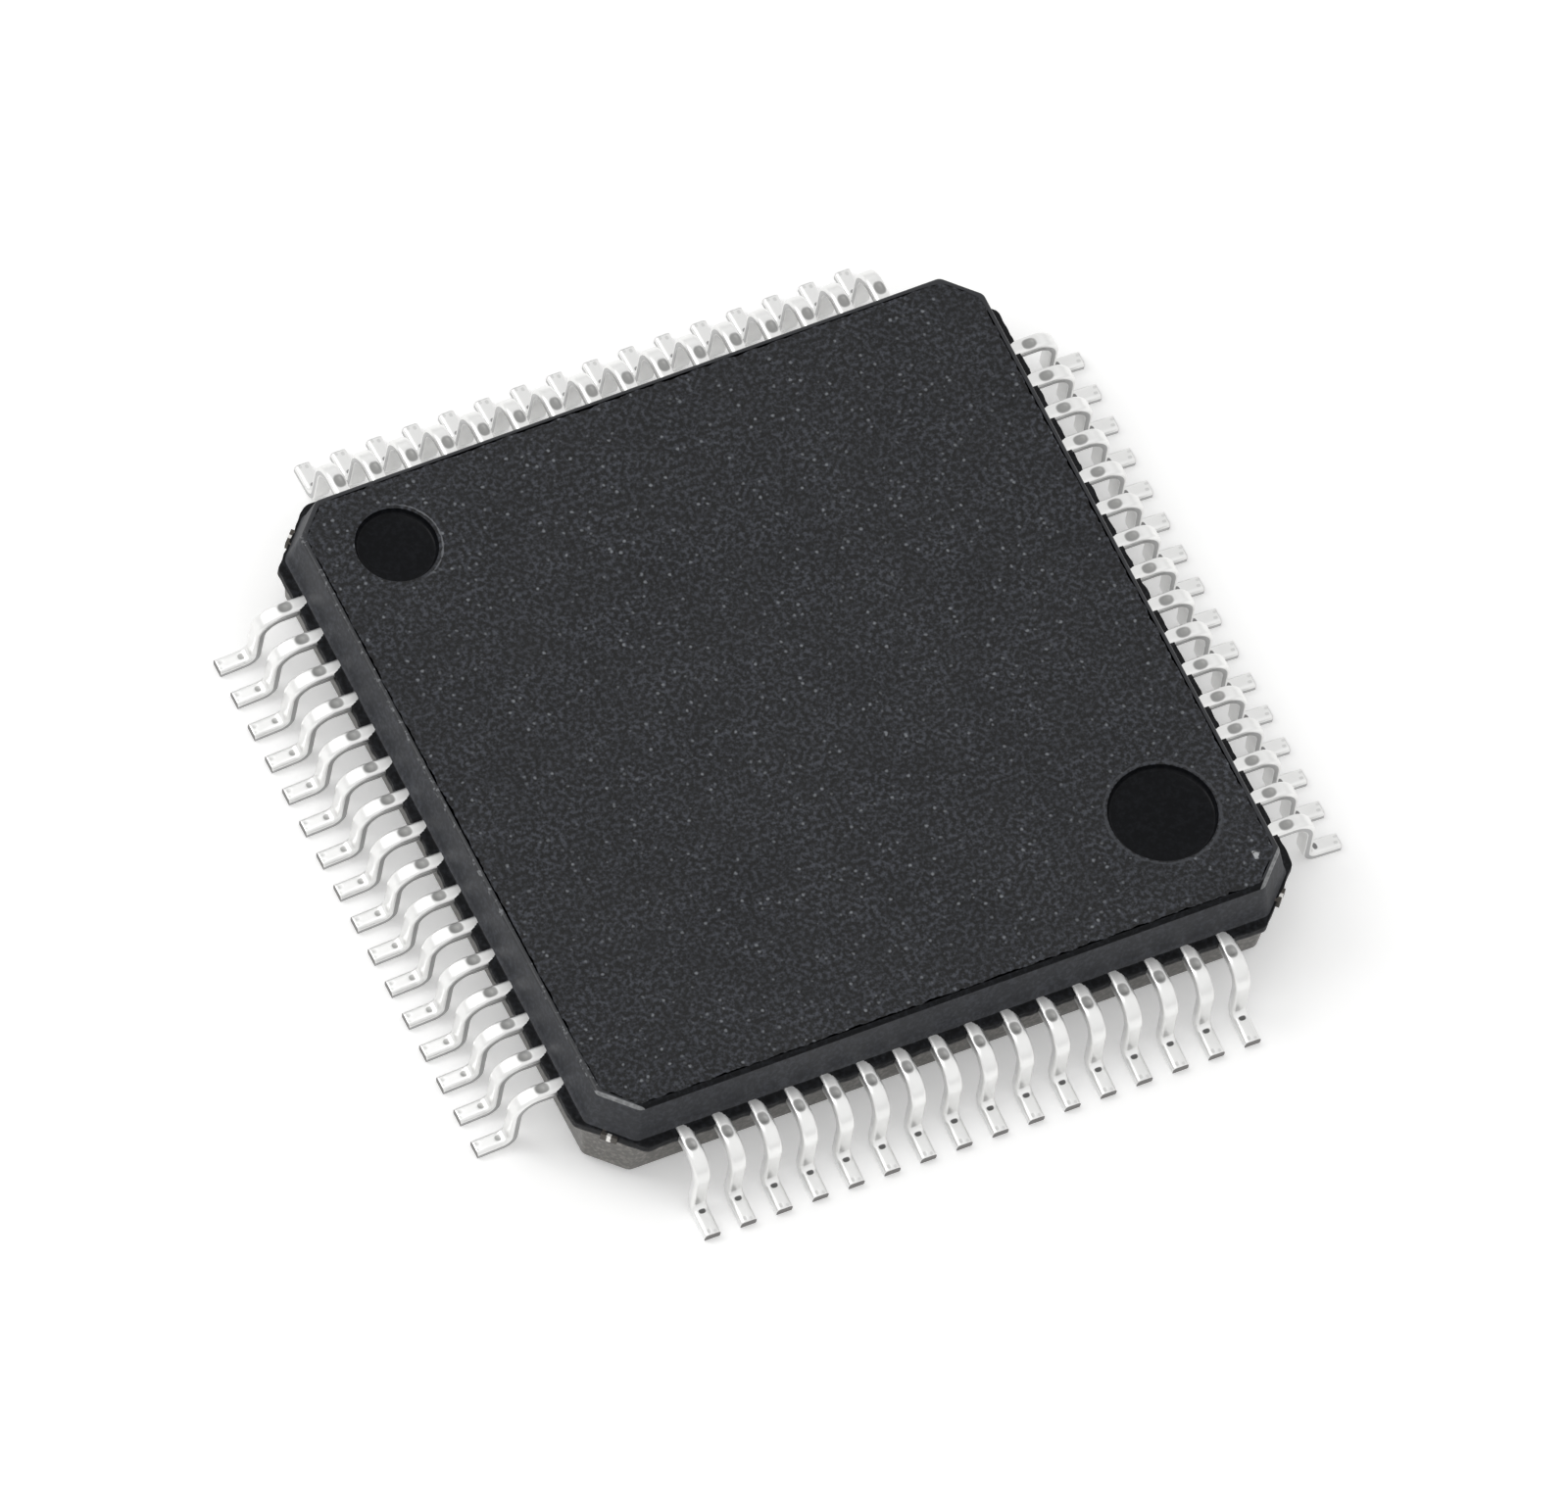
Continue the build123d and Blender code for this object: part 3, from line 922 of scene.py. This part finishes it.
def pad_material():
    """Copper alloy of the die pad and its tie bars, dull at their cut ends but for one bright spot."""
    material, tree, output, point = new_material("copper_strip")
    flat = vector_maths(tree, "MULTIPLY", point, (1.0, 1.0, 0.0)).outputs[0]
    reach = vector_maths(tree, "LENGTH", flat).outputs["Value"]
    outside = map_range(tree, reach, TIE_END, TIE_END + 0.06 * MM)
    speckle = noise_at(tree, point, 30000.0, 3.0)
    copper = blend_colours(tree, speckle, COPPER_LOW, COPPER_HIGH)
    x, y, _ = axes(tree, point)
    sideways = maths(tree, "SUBTRACT", maths(tree, "ABSOLUTE", x), maths(tree, "ABSOLUTE", y))
    sideways = maths(tree, "ADD", maths(tree, "ABSOLUTE", sideways), times(tree, speckle, 0.04 * MM))
    spot = map_range(tree, sideways, 0.07 * MM, 0.045 * MM)
    end = blend_colours(tree, spot, TIE_DULL, TIE_BRIGHT)
    principled(tree, output, {"Metallic": 0.9, "Base Color": blend_colours(tree, outside, copper, end),
                              "Roughness": map_range(tree, speckle, 0.3, 0.7, 0.35, 0.55)},
               speckle, 0.4, 0.002 * MM)
    return material


def give_material(node, material):
    """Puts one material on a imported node, in place of its own."""
    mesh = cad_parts[node].data
    mesh.materials.clear()
    mesh.materials.append(material)


# Stage

def floor_material(settings):
    """A pale floor that shows white to the camera and in reflections, and keeps the chip's shadow."""
    material, tree, output, _ = new_material("pale_floor")
    diffuse = put(tree, "ShaderNodeBsdfDiffuse", {"Color": shade(settings.floor_colour, 1.0)})
    path = put(tree, "ShaderNodeLightPath").outputs
    seen = maths(tree, "MAXIMUM", path["Is Camera Ray"], path["Is Transmission Ray"])
    seen = maths(tree, "ADD", times(tree, seen, FLOOR_GLOW),
                 times(tree, path["Is Glossy Ray"], FLOOR_MIRRORED))
    glow = put(tree, "ShaderNodeEmission", {"Color": WHITE, "Strength": seen})
    both = put(tree, "ShaderNodeAddShader", {0: diffuse.outputs[0], 1: glow.outputs[0]})
    tree.links.new(both.outputs[0], output.inputs[0])
    return material


def fill_floor(bm):
    """A level sheet with a gentle upturned rim far out."""
    turns = spread(0.0, 2 * pi, FLOOR_SIDES)
    rings = [add_ring(bm, [(reach * cos(turn), reach * sin(turn), z) for turn in turns])
             for reach, z in FLOOR_RINGS]
    bm.faces.new(rings[0])
    for index in range(len(rings) - 1):
        join_rings(bm, rings[index], rings[index + 1], 0)


def add_lamp(name, direction, size, watts):
    """A soft square lamp that faces the chip."""
    light = bpy.data.lights.new(name, "AREA")
    light.shape = "SQUARE"
    light.size = size
    light.energy = watts
    lamp = bpy.data.objects.new(name, light)
    away = Vector(direction).normalized()
    lamp.location = away * LAMP_DISTANCE
    lamp.rotation_mode = "QUATERNION"
    lamp.rotation_quaternion = (-away).to_track_quat("-Z", "Y")
    bpy.context.scene.collection.objects.link(lamp)


def make_world():
    """White to the camera; for the rest a light tent with a dim patch high behind the chip."""
    world = bpy.data.worlds.new("light_tent")
    bpy.context.scene.world = world
    world.use_nodes = True
    tree = world.node_tree
    tree.nodes.clear()
    output = tree.nodes.new("ShaderNodeOutputWorld")
    toward = put(tree, "ShaderNodeTexCoord").outputs["Generated"]
    facing = vector_maths(tree, "DOT_PRODUCT", toward, TENT_DIM_CENTRE).outputs["Value"]
    dim = map_range(tree, facing, *[cos(angle) for angle in TENT_DIM_ANGLES])
    horizon = map_range(tree, maths(tree, "ABSOLUTE", axes(tree, toward)[2]), 0.05, 0.45)
    tent = change(tree, dim, change(tree, horizon, TENT_HORIZON, TENT_LEVEL), TENT_DIM)
    path = put(tree, "ShaderNodeLightPath").outputs
    level = change(tree, path["Is Glossy Ray"], times(tree, tent, TENT_DIFFUSE_SHARE), tent)
    level = change(tree, path["Is Camera Ray"], level, 1.0)
    background = put(tree, "ShaderNodeBackground", {"Color": WHITE, "Strength": level})
    tree.links.new(background.outputs[0], output.inputs[0])


def make_camera():
    """A far camera without perspective at the photograph's viewing angle."""
    data = bpy.data.cameras.new("camera")
    data.type = "ORTHO"
    data.ortho_scale = VIEW_WIDTH
    data.clip_start = 0.001
    data.clip_end = 10.0
    camera = bpy.data.objects.new("camera", data)
    back = Vector((sin(CAMERA_AZIMUTH) * cos(CAMERA_HEIGHT), -cos(CAMERA_AZIMUTH) * cos(CAMERA_HEIGHT),
                   sin(CAMERA_HEIGHT)))
    level_right = Vector((cos(CAMERA_AZIMUTH), sin(CAMERA_AZIMUTH), 0.0))
    level_up = back.cross(level_right)
    right = cos(CAMERA_ROLL) * level_right + sin(CAMERA_ROLL) * level_up
    up = -sin(CAMERA_ROLL) * level_right + cos(CAMERA_ROLL) * level_up
    turn = Matrix((right, up, back)).transposed()
    camera.matrix_world = Matrix.Translation(CAMERA_TARGET + back * CAMERA_DISTANCE) @ turn.to_4x4()
    bpy.context.scene.collection.objects.link(camera)
    bpy.context.scene.camera = camera


# Operators

class CHIP_OT_body(bpy.types.Operator):
    """Builds the moulded body with its grained top, drafted walls, parting flange and recesses."""

    bl_idname = "chip.body"
    bl_label = "Moulded body"

    def execute(self, context):
        settings = context.scene.chip_settings
        materials = moulding_materials(settings, shared_groups())
        piece = new_piece("body_skin", lambda bm: fill_body(bm, settings), materials)
        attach(piece, "root")
        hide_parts("moulded_body")
        return {"FINISHED"}


class CHIP_OT_leads(bpy.types.Operator):
    """Builds the rows of formed leads, with rounded edges, marks and cut toes; the shoulder marks, the heel
    dots' row tones and the sheared sides' row tones hold painted light.
    """

    bl_idname = "chip.leads"
    bl_label = "Formed leads"

    def execute(self, context):
        settings = context.scene.chip_settings
        groups = shared_groups()
        shared = [sheared_material(groups, "cut_end", CUT_TONE, 0.5),
                  sheared_material(groups, "bare_strip", BARE_TONE, 0.4)]
        for side, angle in ROWS.items():
            marks = [*SHOULDER_PAINTED_REFLECTIONS, HEEL_MARKS[side], *TOE_MARKS]
            # Each row's sheared sides take their own tone, as painted light
            sheared = sheared_material(groups, f"tin_sheared_{side}", (SHEARED_LIT_TONES[side],) * 3, 0.42)
            materials = [tin_material(settings, groups, f"tin_plate_{side}", marks), sheared, *shared]
            piece = new_piece(f"lead_row_{side}", lambda bm: fill_row(bm, angle, marks), materials)
            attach(piece, "root")
            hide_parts(f"leads_{side}")
        return {"FINISHED"}


class CHIP_OT_inner_parts(bpy.types.Operator):
    """Finishes the die pad, the die, its adhesive and the bond wires inside the moulding."""

    bl_idname = "chip.inner_parts"
    bl_label = "Inner parts"

    def execute(self, context):
        gold = inner_material("gold_wire", (0.95, 0.72, 0.33), 1.0, 0.22, 90000.0, 0.001 * MM, 0.08)
        paste = inner_material("adhesive", (0.45, 0.45, 0.46), 0.4, 0.55, 40000.0, 0.004 * MM)
        give_material("die_pad", pad_material())
        give_material("die_adhesive", paste)
        give_material("silicon_die", die_material())
        for side in ROWS:
            give_material(f"bond_wires_{side}", gold)
        return {"FINISHED"}


class CHIP_OT_stage(bpy.types.Operator):
    """Lays the pale floor and sets the light tent, the lamps and the camera."""

    bl_idname = "chip.stage"
    bl_label = "Stage"

    def execute(self, context):
        floor = new_piece("floor", fill_floor, [floor_material(context.scene.chip_settings)])
        make_world()
        for name, lamp in LAMPS.items():
            add_lamp(name, *lamp)
        make_camera()
        context.scene.view_settings.view_transform = "Standard"
        return {"FINISHED"}


class CHIP_PT_panel(bpy.types.Panel):
    """Lists the steps and the settings."""

    bl_idname = "CHIP_PT_panel"
    bl_label = "Chip package"
    bl_space_type = "VIEW_3D"
    bl_region_type = "UI"
    bl_category = "Chip"

    def draw(self, context):
        for operator in OPERATORS:
            self.layout.operator(operator.bl_idname)
        for name in ChipSettings.__annotations__:
            self.layout.prop(context.scene.chip_settings, name)


OPERATORS = (CHIP_OT_body, CHIP_OT_leads, CHIP_OT_inner_parts, CHIP_OT_stage)
CLASSES = (ChipSettings, *OPERATORS, CHIP_PT_panel)


def register():
    """Registers the classes and puts the settings on the scene."""
    for item in CLASSES:
        bpy.utils.register_class(item)
    bpy.types.Scene.chip_settings = bpy.props.PointerProperty(type=ChipSettings)


def unregister():
    """Takes the settings and the classes away again."""
    del bpy.types.Scene.chip_settings
    for item in reversed(CLASSES):
        bpy.utils.unregister_class(item)


def main():
    """Builds the whole scene."""
    register()
    bpy.ops.chip.body()
    bpy.ops.chip.leads()
    bpy.ops.chip.inner_parts()
    bpy.ops.chip.stage()
    bpy.context.view_layer.update()


if __name__ == "__main__":
    main()
